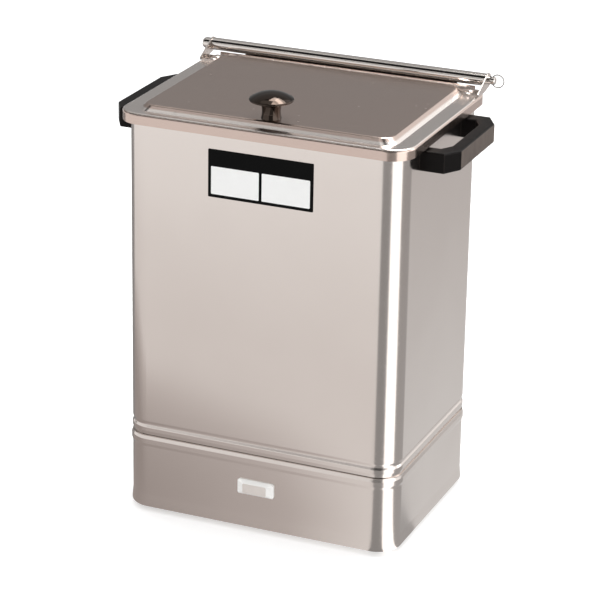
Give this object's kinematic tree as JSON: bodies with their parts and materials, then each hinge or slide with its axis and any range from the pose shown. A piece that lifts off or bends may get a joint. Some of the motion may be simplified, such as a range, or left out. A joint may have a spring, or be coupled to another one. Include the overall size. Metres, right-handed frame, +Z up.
{
  "type": "hot pack heater",
  "caption": "Table-top stainless hot pack heater: a tall rounded tank on a base skirt with a hinged knobbed lid, side handles, a wire pack rack and an immersion element.",
  "frame": {"origin": "under the middle of the outer box, on the surface that the rubber feet stand on", "axes": "+Z up, +X to the heater's right-hand end with the retaining ring as seen from the front, -Y towards the front with the pilot lamp"},
  "size_m": [0.358, 0.236, 0.452],
  "materials": {
    "satin_stainless": "satin brushed stainless",
    "bright_stainless": "polished stainless",
    "phenolic": "black moulded phenolic",
    "zinc_steel": "zinc plated",
    "rubber": "matte black rubber",
    "lens": "milky translucent",
    "black_plastic": "matte black",
    "block_plastic": "cream",
    "element_sheath": "heat tinted alloy sheath",
    "brass": "turned brass",
    "capillary_steel": "drawn stainless tube",
    "rack_wire": "electropolished stainless wire"
  },
  "bodies": {
    "base": {"tank": "satin_stainless", "tank_floor": "satin_stainless", "base_skirt": "satin_stainless", "base_plate": "satin_stainless", "plate_screws": "zinc_steel", "rubber_feet": "rubber", "foot_screws": "zinc_steel", "foot_nuts": "zinc_steel", "hinge_barrel": "bright_stainless", "hinge_rivets": "bright_stainless", "hinge_rod": "bright_stainless", "handle_left": "phenolic", "handle_right": "phenolic", "handle_screws": "zinc_steel", "handle_washers": "zinc_steel", "pilot_lamp_lens": "lens", "pilot_lamp_body": "black_plastic", "heating_element": "element_sheath", "element_glands": "brass", "element_gaskets": "rubber", "element_nuts": "brass", "thermostat_body": "black_plastic", "thermostat_nut": "zinc_steel", "thermostat_capillary": "capillary_steel", "capillary_gland": "brass", "cord_gland": "black_plastic", "gland_locknut": "black_plastic", "terminal_block": "block_plastic", "terminal_screws": "zinc_steel", "earth_stud": "zinc_steel", "earth_nut": "zinc_steel"},
    "lid": {"lid": "satin_stainless", "lid_ear_left": "bright_stainless", "lid_ear_right": "bright_stainless", "ear_rivets": "bright_stainless", "lid_knob": "phenolic", "knob_screw": "zinc_steel", "knob_washer": "zinc_steel"},
    "rack": {"rack_base": "rack_wire", "rack_feet": "rack_wire", "rack_dividers": "rack_wire", "rack_handles": "rack_wire"},
    "dial": {"thermostat_dial": "black_plastic", "thermostat_shaft": "brass"},
    "ring": {"retaining_ring": "bright_stainless"}
  },
  "joints": [
    {"name": "lid_hinge", "type": "hinge", "parent": "base", "child": "lid", "pos_m": [0, 0.106, 0.4295], "axis": [-1, 0, 0], "range_deg": [0, 105]},
    {"name": "rack_lift", "type": "slide", "parent": "base", "child": "rack", "axis": [0, 0, 1], "range_m": [0, 0.038]},
    {"name": "thermostat_turn", "type": "hinge", "parent": "base", "child": "dial", "pos_m": [0.07, 0.104, 0.043], "axis": [0, -1, 0], "range_deg": [0, 270]},
    {"name": "ring_swing", "type": "hinge", "parent": "base", "child": "ring", "pos_m": [0.1529, 0.106, 0.4295], "axis": [0, 0, 1], "range_deg": [-80, 80]}
  ]
}
